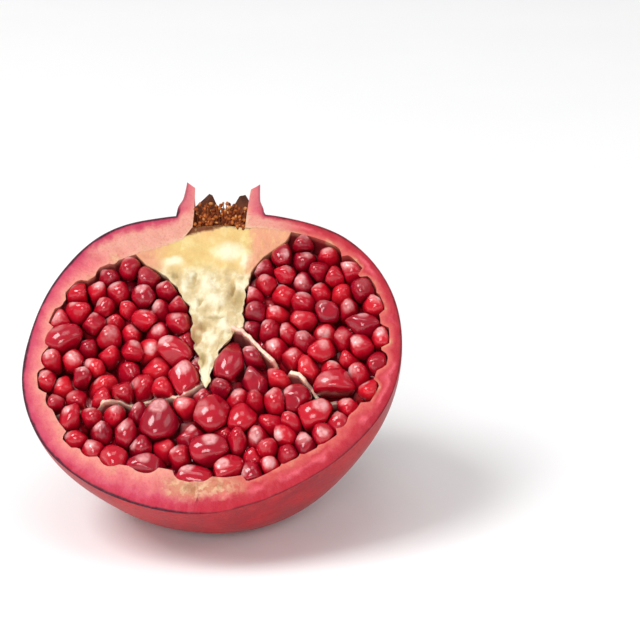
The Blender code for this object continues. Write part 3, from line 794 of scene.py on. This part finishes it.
def make_stamens(materials):
    """Withered filaments with their anthers, on the floor of the crown."""
    rng = np.random.default_rng(STAMEN_SEED)
    curve = bpy.data.curves.new("filaments", "CURVE")
    curve.dimensions = "3D"
    curve.bevel_depth = STAMEN_RADIUS
    curve.bevel_resolution = 1
    curve.use_fill_caps = True
    tips = []
    for _ in range(STAMEN_COUNT):
        azimuth = rng.uniform(0.05, math.pi - 0.05)
        reach = TUFT_RADIUS * math.sqrt(rng.uniform(0.02, 1))
        foot = turned(reach, azimuth, STAMEN_FOOT_Z + 1.4 * (1 - (reach / 6) ** 2), CROWN_X)
        height = rng.uniform(*STAMEN_HEIGHT)
        bend = Vector((rng.normal(0, 1.3), rng.normal(0, 0.9), 0))
        spline = curve.splines.new("POLY")
        spline.points.add(STAMEN_POINTS - 1)
        for index, spot in enumerate(spline.points):
            share = index / (STAMEN_POINTS - 1)
            place = foot + Vector((0, 0, height * share)) + bend * share ** 1.6
            place.y = max(place.y, 0.15 + 1.4 * smooth(0.5, 0.1, share))
            out = Vector((place.x - CROWN_X, place.y, 0))
            if out.length > TUFT_LIMIT:
                out *= TUFT_LIMIT / out.length
                place = Vector((out.x + CROWN_X, out.y, place.z))
            spot.co = (*place, 1)
            spot.radius = 1.2 - 0.5 * share
        tips += [place, Vector(spline.points[3].co[:3])]
    drawn = add_object("filaments", curve)
    bpy.context.view_layer.update()
    evaluated = drawn.evaluated_get(bpy.context.evaluated_depsgraph_get())
    mesh = bmesh.new()
    mesh.from_mesh(evaluated.to_mesh())
    evaluated.to_mesh_clear()
    bpy.data.objects.remove(drawn)
    tone_of = mesh.verts.layers.float.new("tone")
    for vertex in mesh.verts:
        vertex[tone_of] = 0.1 + 0.4 * smooth(38, 45, vertex.co.z)
    for tip in tips:
        ball = bmesh.ops.create_icosphere(mesh, subdivisions=1, radius=1.0)["verts"]
        turn = Matrix.Rotation(rng.uniform(0, math.tau), 4, "Z")
        turn = turn @ Matrix.Rotation(rng.uniform(0, 2.0), 4, "X")
        size = rng.uniform(*ANTHER_RADIUS)
        place = Matrix.Translation(tip) @ turn @ Matrix.Diagonal((size, size, 1.5 * size, 1))
        bmesh.ops.transform(mesh, verts=ball, matrix=place)
        tone = rng.uniform(0.25, 1.0)
        for vertex in ball:
            vertex[tone_of] = tone
    bmesh.ops.scale(mesh, verts=mesh.verts, vec=(MM, MM, MM))
    made = stand("stamen_tuft", mesh, materials)
    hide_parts("stamens")


# Materials

# The ochre blush at the back of the skin, and a brown fold in the pith
BLUSH_SPOT = (10, 24, 34)
FOLD_SPOT = (-6.5, 0, 8.5)


class Paint:
    """Builds one material's nodes, in the fruit's own frame and in millimetres."""

    def __init__(self, name):
        self.material = bpy.data.materials.new(name)
        self.material.use_nodes = True
        self.nodes = self.material.node_tree.nodes
        self.links = self.material.node_tree.links
        self.shader = self.nodes["Principled BSDF"]
        self.colour = None
        lean = Matrix.Rotation(math.radians(LEAN_DEG), 4, "X")
        self.place = self.node("Mapping", "Vector", {
            "Vector": self.node("TexCoord", "Object", {}),
            "Scale": (1000, 1000, 1000),
            "Rotation": (math.radians(LEAN_DEG), 0, 0),
            "Location": lean @ Vector(FRUIT_CENTRE) * -1000,
        })

    def node(self, kind, output, inputs, **settings):
        """Adds a node with its settings and inputs, and gives the socket of its output."""
        made = self.nodes.new("ShaderNode" + kind)
        for name, value in settings.items():
            setattr(made, name, value)
        for key, value in inputs.items():
            self.put(made.inputs[key], value)
        return made.outputs[output]

    def put(self, socket, value):
        """Sets a socket to a number or colour, or links it to another node's output."""
        if isinstance(value, bpy.types.NodeSocket):
            self.links.new(value, socket)
        else:
            socket.default_value = (*value, 1) if socket.type == "RGBA" else value

    def set(self, **values):
        for name, value in values.items():
            self.put(self.shader.inputs[name.replace("_", " ")], value)

    def noise(self, scale, detail=3.0, roughness=0.5, stretch=None):
        """Noise with features of about 1 / scale millimetres."""
        place = self.place
        if stretch:
            place = self.node("Mapping", "Vector", {"Vector": place, "Scale": stretch})
        inputs = {"Vector": place, "Scale": scale, "Detail": detail, "Roughness": roughness}
        return self.node("TexNoise", "Fac", inputs)

    def spots(self, scale):
        return self.node("TexVoronoi", "Distance", {"Vector": self.place, "Scale": scale})

    def axis(self, which):
        """One coordinate in the fruit's frame, in millimetres."""
        return self.node("SeparateXYZ", which, {"Vector": self.place})

    def near(self, spot):
        """How far the surface is from a spot of the fruit, in millimetres."""
        return self.node("VectorMath", "Value", {0: self.place, 1: spot}, operation="DISTANCE")

    def attribute(self, name):
        return self.node("Attribute", "Fac", {}, attribute_name=name)

    def math(self, operation, a, b=0.0):
        return self.node("Math", "Value", {0: a, 1: b}, operation=operation)

    def times(self, a, b):
        return self.math("MULTIPLY", a, b)

    def plus(self, a, b):
        return self.math("ADD", a, b)

    def minus(self, a, b):
        return self.math("SUBTRACT", a, b)

    def larger(self, a, b):
        return self.math("MAXIMUM", a, b)

    def fade(self, value, low, high, start=0.0, end=1.0):
        """Value mapped so that low gives start and high gives end, held beyond them."""
        inputs = {"Value": value, "From Min": low, "From Max": high, "To Min": start, "To Max": end}
        return self.node("MapRange", "Result", inputs, interpolation_type="SMOOTHSTEP")

    def ramp(self, value, *stops):
        made = self.nodes.new("ShaderNodeValToRGB")
        elements = made.color_ramp.elements
        while len(elements) < len(stops):
            elements.new(0.5)
        for element, (position, colour) in zip(elements, stops):
            element.position = position
            element.color = (*colour, 1)
        self.links.new(value, made.inputs["Fac"])
        return made.outputs["Color"]

    def mix(self, share, first, second):
        return self.node("Mix", 2, {0: share, 6: first, 7: second}, data_type="RGBA")

    def over(self, share, tint):
        """Lays a share of a tint over the colour so far."""
        self.colour = self.mix(share, self.colour, tint)

    def bump(self, height, strength, distance_mm, under=None):
        inputs = {"Strength": strength, "Distance": distance_mm * MM, "Height": height}
        if under:
            inputs["Normal"] = under
        return self.node("Bump", "Normal", inputs)


def skin_paint():
    """Leathery crimson skin, mottled and freckled, with one ochre blush at the back and tawny sepals."""
    paint = Paint("skin")
    mottle = paint.noise(0.09, 5, 0.6)
    paint.colour = paint.ramp(
        mottle, (0.3, (0.23, 0.004, 0.014)), (0.5, (0.37, 0.006, 0.016)), (0.68, (0.47, 0.012, 0.02)),
    )
    streaks = paint.noise(0.35, 4, 0.65, stretch=(1, 1, 0.35))
    paint.over(paint.fade(streaks, 0.5, 0.72, 0, 0.4), (0.54, 0.03, 0.025))
    patches = paint.fade(paint.noise(0.1, 3, 0.6), 0.42, 0.6, 0.05, 0.4)
    stipple = paint.times(paint.fade(paint.noise(1.9, 3, 0.6), 0.5, 0.66), patches)
    paint.over(stipple, (0.62, 0.06, 0.05))
    freckles = paint.fade(paint.noise(0.9, 3, 0.6), 0.58, 0.66, 0, 0.55)
    paint.over(freckles, (0.16, 0.003, 0.01))
    blush = paint.plus(paint.near(BLUSH_SPOT), paint.times(paint.noise(0.3, 4, 0.6), 9))
    paint.over(paint.fade(blush, 17, 9, 0, 0.8), (0.66, 0.12, 0.06))
    paint.over(paint.fade(blush, 10, 6.5, 0, 0.75), (0.6, 0.33, 0.07))
    height = paint.plus(paint.axis("Z"), paint.times(paint.noise(0.7, 3), 2.5))
    sepal = paint.ramp(
        paint.fade(height, 43, 55.5), (0.0, (0.5, 0.04, 0.035)), (0.4, (0.56, 0.12, 0.06)),
        (0.7, (0.4, 0.13, 0.04)), (0.92, (0.16, 0.05, 0.02)), (1.0, (0.06, 0.02, 0.01)),
    )
    paint.over(paint.fade(height, 43, 46), sepal)
    gloss = paint.fade(mottle, 0.3, 0.7, 0.36, 0.48)
    paint.set(Base_Color=paint.colour, Roughness=gloss, Specular_IOR_Level=0.22)
    paint.set(Subsurface_Weight=0.05, Subsurface_Scale=0.002, Subsurface_Radius=(1, 0.25, 0.15))
    leather = paint.bump(paint.noise(0.8, 5, 0.6), 0.25, 0.35)
    paint.set(Normal=paint.bump(paint.spots(1.1), 0.12, 0.12, leather))
    return paint.material


def flesh_paint():
    """Cut rind: a dark line of skin, then flesh that pales towards the arils.

    It is pink at the left, redder and darker towards the right and below, salmon beside the pith, and cream
    with a brown stain at the bottom.
    """
    paint = Paint("rind_flesh")
    depth, x, z = paint.attribute("depth"), paint.axis("X"), paint.axis("Z")
    drift = paint.times(paint.minus(paint.noise(0.3, 4, 0.6), 0.5), 0.6)
    share = paint.plus(paint.attribute("share"), drift)
    rosy = paint.ramp(
        share, (0.0, (0.4, 0.022, 0.075)), (0.3, (0.52, 0.052, 0.105)), (0.65, (0.62, 0.14, 0.15)),
        (1.0, (0.68, 0.26, 0.2)),
    )
    banded = paint.ramp(
        share, (0.0, (0.3, 0.005, 0.018)), (0.32, (0.4, 0.012, 0.03)), (0.5, (0.62, 0.09, 0.12)),
        (0.78, (0.46, 0.025, 0.035)), (1.0, (0.6, 0.14, 0.11)),
    )
    right_and_low = paint.fade(paint.plus(x, paint.fade(z, -20, -36, 0, 14)), 3, 21)
    plain = paint.ramp(
        share, (0.0, (0.3, 0.005, 0.018)), (0.5, (0.44, 0.02, 0.035)), (1.0, (0.6, 0.12, 0.1)),
    )
    ripe = paint.mix(paint.fade(paint.noise(0.13, 3, 0.5), 0.44, 0.58), plain, banded)
    paint.colour = paint.mix(right_and_low, rosy, ripe)
    band = paint.times(paint.fade(z, -20, -30), paint.fade(share, 0.42, 0.12))
    paint.over(paint.times(band, 0.6), (0.46, 0.006, 0.022))
    top = paint.times(paint.fade(z, 26, 33), paint.fade(z, 44, 41))
    top = paint.times(top, paint.fade(x, 22, 8))
    paint.over(paint.times(top, paint.fade(share, 0.1, 0.45)), (0.63, 0.29, 0.22))
    seam = paint.times(top, paint.fade(share, 0.8, 1.05, 0, 0.7))
    paint.over(seam, (0.68, 0.43, 0.28))
    paint.over(paint.fade(z, 42, 45.5, 0, 0.65), (0.54, 0.15, 0.165))
    cream = paint.times(paint.fade(share, 0.6, 1.0), paint.fade(paint.noise(0.16, 3, 0.6), 0.5, 0.68))
    bottom = paint.times(paint.fade(z, -28, -33), paint.fade(paint.math("ABSOLUTE", x), 13, 5))
    cream = paint.larger(paint.times(cream, 0.7), paint.times(bottom, paint.fade(share, 0.3, 0.8)))
    paint.over(paint.times(cream, 0.85), (0.5, 0.24, 0.12))
    pale = paint.times(cream, paint.fade(paint.noise(0.45, 3, 0.6), 0.46, 0.58))
    paint.over(paint.times(pale, 0.8), (0.68, 0.46, 0.28))
    stain = paint.times(bottom, paint.fade(paint.noise(0.25, 3, 0.6), 0.48, 0.62))
    stain = paint.times(stain, paint.fade(share, 0.6, 0.9))
    paint.over(paint.times(stain, 0.75), (0.3, 0.11, 0.04))
    fibres = paint.fade(paint.noise(1.4, 4, 0.7), 0.48, 0.7, 0, 0.35)
    paint.over(fibres, (0.5, 0.02, 0.04))
    line = paint.plus(depth, paint.times(paint.noise(0.6, 2), 0.5))
    line = paint.plus(line, paint.times(paint.noise(0.12, 2), 1.0))
    line = paint.plus(line, paint.times(right_and_low, 0.25))
    line = paint.times(paint.fade(line, 1.05, 1.6, 1, 0), paint.fade(z, 42, 45, 1, 0.35))
    rim_red = paint.mix(right_and_low, (0.05, 0.001, 0.012), (0.14, 0.001, 0.008))
    paint.over(line, rim_red)
    # Painted shade: the inner wall darkens deeper behind the cut, where the arils shade it
    deep_shade = paint.fade(paint.axis("Y"), 0.5, 2.6, 0, 0.92)
    paint.over(deep_shade, (0.3, 0.008, 0.018))
    paint.set(Base_Color=paint.colour, Roughness=0.45, Specular_IOR_Level=0.2)
    under_line = paint.fade(line, 0, 0.4, 0.2, 0)
    paint.set(Subsurface_Weight=under_line, Subsurface_Scale=0.0015, Subsurface_Radius=(1, 0.4, 0.25))
    grain = paint.bump(paint.noise(2.2, 4, 0.6), 0.3, 0.25)
    paint.set(Normal=paint.bump(paint.noise(0.45, 3), 0.35, 0.9, grain))
    return paint.material


def lining_paint():
    """The inside of the crown: tawny at its foot, dark and dry along the edge."""
    paint = Paint("crown_lining")
    height = paint.plus(paint.axis("Z"), paint.times(paint.noise(0.9, 3), 3))
    colour = paint.ramp(
        paint.fade(height, 39, 53), (0.0, (0.35, 0.08, 0.03)), (0.4, (0.2, 0.04, 0.012)),
        (0.75, (0.15, 0.038, 0.012)), (1.0, (0.08, 0.022, 0.01)),
    )
    paint.set(Base_Color=colour, Roughness=0.6, Specular_IOR_Level=0.15)
    paint.set(Normal=paint.bump(paint.noise(1.8, 4, 0.7, stretch=(1, 1, 0.3)), 0.5, 0.4))
    return paint.material


def pith_paint():
    """Cream pith: pale lumps, yellow near the crown, salmon at the rind, and olive-brown in its hollows,
    partly their own tan and partly painted shade.
    """
    paint = Paint("pith")
    x, z = paint.axis("X"), paint.axis("Z")
    blur = paint.times(paint.minus(paint.noise(0.3, 4, 0.65), 0.5), 6)
    low = paint.ramp(
        paint.noise(0.25, 4, 0.6), (0.35, (0.5, 0.37, 0.19)), (0.5, (0.63, 0.51, 0.3)),
        (0.62, (0.78, 0.72, 0.52)),
    )
    high = paint.ramp(
        paint.noise(0.18, 3, 0.6), (0.35, (0.63, 0.42, 0.16)), (0.5, (0.65, 0.47, 0.185)),
        (0.65, (0.72, 0.6, 0.3)),
    )
    sideways = paint.plus(x, blur)
    paint.colour = paint.mix(paint.fade(paint.plus(z, blur), 24, 29), low, high)
    paint.over(paint.fade(paint.attribute("lump"), 0.1, 1.0, 0, 0.85), (0.8, 0.75, 0.56))
    # Hollows: partly their own tan, partly painted shade, as cream in shadow turns olive
    hollow_darkening = paint.fade(paint.attribute("hollow"), 0.05, 0.95, 0, 0.8)
    hollow_tan_and_shade = paint.mix(paint.noise(0.5, 3), (0.24, 0.19, 0.06), (0.5, 0.33, 0.14))
    paint.over(hollow_darkening, hollow_tan_and_shade)
    fold = paint.fade(paint.near(FOLD_SPOT), 5.5, 2.0)
    fold = paint.times(fold, paint.fade(paint.noise(0.7, 3), 0.35, 0.6))
    paint.over(paint.times(fold, 0.7), (0.5, 0.24, 0.13))
    tawny = paint.times(paint.fade(z, 33, 38.5), paint.fade(sideways, 1, -5, 0.1, 0.8))
    paint.over(tawny, (0.68, 0.4, 0.17))
    rim = paint.larger(paint.fade(sideways, 5.0, 8.0), paint.fade(sideways, -13, -19))
    rim = paint.larger(rim, paint.fade(paint.plus(paint.near((0, 0, 0)), blur), 38.5, 42, 0, 0.8))
    rim = paint.times(rim, paint.fade(z, 22, 27, 0, 0.8))
    paint.over(rim, (0.64, 0.25, 0.17))
    # The brown of the stamens hanging down at the top left, and painted shade under the tuft
    tuft_brown_and_shade = paint.minus(z, paint.times(paint.minus(x, -7.5), 0.33))
    tuft_brown_and_shade = paint.plus(tuft_brown_and_shade, paint.times(paint.noise(0.8, 3), 1.6))
    paint.over(paint.fade(tuft_brown_and_shade, 37.0, 38.0, 0, 0.97), (0.14, 0.026, 0.006))
    # Painted shade: the pith darkens deeper behind the cut
    deep_shade = paint.fade(paint.axis("Y"), 1.4, 3.8, 0, 0.9)
    paint.over(deep_shade, (0.34, 0.02, 0.02))
    streaks = paint.fade(paint.noise(0.9, 4, 0.7, stretch=(1, 1, 0.4)), 0.52, 0.68, 0, 0.35)
    paint.over(streaks, (0.72, 0.5, 0.2))
    paint.set(Base_Color=paint.colour, Roughness=0.6, Specular_IOR_Level=0.2)
    paint.set(Subsurface_Weight=0.3, Subsurface_Scale=0.002, Subsurface_Radius=(1, 0.75, 0.45))
    fibres = paint.bump(paint.noise(1.5, 4, 0.6, stretch=(1, 1, 0.4)), 0.3, 0.4)
    paint.set(Normal=paint.bump(paint.noise(0.4, 3), 0.3, 1.2, fibres))
    return paint.material


def wall_paint():
    """Thin membrane, cream and pink along its torn edge, darker further in with painted shade."""
    paint = Paint("membrane")
    mottle = paint.noise(0.5, 4, 0.6)
    paint.colour = paint.ramp(mottle, (0.35, (0.95, 0.46, 0.37)), (0.6, (0.98, 0.72, 0.55)))
    # Painted shade: the wall darkens deeper behind its torn edge, among the arils
    deep_shade = paint.fade(paint.attribute("behind"), 0.7, 3.0, 0, 0.9)
    paint.over(deep_shade, (0.42, 0.04, 0.05))
    paint.set(Base_Color=paint.colour, Roughness=0.45, Coat_Weight=0.3, Coat_Roughness=0.2)
    paint.set(Subsurface_Weight=0.4, Subsurface_Scale=0.001)
    paint.set(Normal=paint.bump(paint.noise(1.5, 4, 0.6), 0.4, 0.3))
    return paint.material


def aril_paint():
    """Juicy pulp, deep crimson to bright red with a wet gloss, and a pale spot that is partly the kernel
    showing through and partly a painted highlight.
    """
    paint = Paint("aril_pulp")
    tone = paint.attribute("tone")
    paint.colour = paint.ramp(
        tone, (0.0, (0.34, 0.003, 0.02)), (0.35, (0.52, 0.004, 0.02)), (0.75, (0.66, 0.006, 0.024)),
        (1.0, (0.78, 0.016, 0.03)),
    )
    cloud = paint.fade(paint.noise(0.35, 3, 0.5), 0.45, 0.7, 0, 0.5)
    paint.over(cloud, (0.62, 0.006, 0.03))
    # Pale spot, partly the kernel showing through and partly a painted highlight
    seed_and_highlight = paint.times(paint.attribute("seed_and_highlight"), paint.fade(paint.noise(0.8, 3, 0.6), 0.35, 0.6, 0.5, 1))
    paint.over(paint.times(seed_and_highlight, 0.95), (1.0, 0.5, 0.5))
    # Painted shade on the aril sides, deep in the gaps between neighbours
    paint.over(paint.times(paint.attribute("side"), 0.8), (0.22, 0.002, 0.01))
    paint.set(Base_Color=paint.colour, Roughness=0.2, Specular_IOR_Level=0.3, Transmission_Weight=0.2)
    paint.set(Coat_Weight=0.8, Coat_Roughness=0.05, IOR=1.36)
    paint.set(Subsurface_Weight=0.35, Subsurface_Scale=0.003, Subsurface_Radius=(1, 0.12, 0.08))
    paint.set(Normal=paint.bump(paint.noise(0.5, 2), 0.25, 0.5))
    return paint.material


def shaded_pulp_paint():
    """Wet pulp in the gaps, painted near black as painted shade."""
    paint = Paint("pulp_in_painted_shade")
    colour = paint.ramp(paint.noise(0.4, 3), (0.35, (0.1, 0.001, 0.004)), (0.65, (0.24, 0.003, 0.01)))
    paint.set(Base_Color=colour, Roughness=0.3, Coat_Weight=0.5, Coat_Roughness=0.15)
    return paint.material


def stamen_paint():
    """Dry brown filaments with tawny anthers."""
    paint = Paint("stamen")
    paint.colour = paint.ramp(
        paint.attribute("tone"), (0.0, (0.07, 0.008, 0.002)), (0.5, (0.24, 0.045, 0.008)),
        (0.85, (0.5, 0.15, 0.03)), (1.0, (0.75, 0.38, 0.14)),
    )
    paint.over(paint.fade(paint.noise(1.2, 3), 0.45, 0.65, 0, 0.5), (0.16, 0.025, 0.005))
    paint.set(Base_Color=paint.colour, Roughness=0.75, Specular_IOR_Level=0.2)
    return paint.material


def floor_paint():
    paint = Paint("studio_paper")
    white = paint.mix(paint.noise(0.02, 2), (0.95, 0.95, 0.95), (0.98, 0.98, 0.98))
    paint.set(Base_Color=white, Roughness=0.7)
    return paint.material


# Studio


def direction(azimuth, elevation):
    """The way from the object to the camera or to a lamp."""
    a, e = math.radians(azimuth), math.radians(elevation)
    return Vector((math.sin(a) * math.cos(e), -math.cos(a) * math.cos(e), math.sin(e)))


def aim(made, azimuth, elevation):
    """Turns a camera or a lamp to look back along a direction."""
    made.rotation_mode = "QUATERNION"
    made.rotation_quaternion = (-direction(azimuth, elevation)).to_track_quat("-Z", "Y")


def make_studio():
    """White paper, soft lamps and the camera."""
    mesh = bmesh.new()
    bmesh.ops.create_grid(mesh, x_segments=1, y_segments=1, size=4.0)
    data = bpy.data.meshes.new("floor")
    mesh.to_mesh(data)
    mesh.free()
    floor = add_object("floor", data)
    data.materials.append(floor_paint())

    centre = Vector(FRUIT_CENTRE)
    camera = add_object("camera", bpy.data.cameras.new("camera"))
    camera.data.lens = CAMERA_LENS
    camera.data.sensor_width = 36.0
    camera.data.clip_start = 0.01
    camera.location = centre + direction(*CAMERA_PLACE_AZ_EL) * CAMERA_DISTANCE
    aim(camera, *CAMERA_AIM_AZ_EL)
    bpy.context.scene.camera = camera

    for name, azimuth, elevation, distance, size, power in (
        ("key", -58, 54, 2.5, 1.1, 43.0),
        ("top", 10, 78, 2.5, 1.0, 8.0),
        ("right", 75, 35, 2.5, 1.2, 6.0),
        ("front", 0, 24, 2.5, 1.0, 23.0),
    ):
        lamp = bpy.data.lights.new(name, "AREA")
        lamp.shape = "SQUARE"
        lamp.size = size
        lamp.energy = power
        made = add_object(name, lamp)
        made.location = centre + direction(azimuth, elevation) * distance
        aim(made, azimuth, elevation)

    world = bpy.data.worlds.new("studio")
    world.use_nodes = True
    world.node_tree.nodes["Background"].inputs["Color"].default_value = (1, 1, 1, 1)
    world.node_tree.nodes["Background"].inputs["Strength"].default_value = 0.38
    bpy.context.scene.world = world
    bpy.context.scene.view_settings.view_transform = "Standard"


make_studio()
top_arils = scatter_arils()
make_rind(top_arils, [skin_paint(), flesh_paint(), lining_paint()])
make_pith([pith_paint()])
membrane = wall_paint()
make_wall("wall_right", TORN_RIGHT, 0.8, [membrane])
make_wall("wall_left", WALL_LEFT, 0.7, [membrane])
deep_arils = scatter_deep_arils()
juicy = aril_paint()
for chamber in ("arils_left", "arils_right", "arils_lower"):
    made = make_arils(chamber + "_top", top_arils, top_arils, 3, [juicy], chamber)
    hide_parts(chamber)
make_arils("arils_deep", deep_arils, deep_arils + top_arils, 1, [juicy])
make_shaded_pulp([shaded_pulp_paint()])
make_stamens([stamen_paint()])
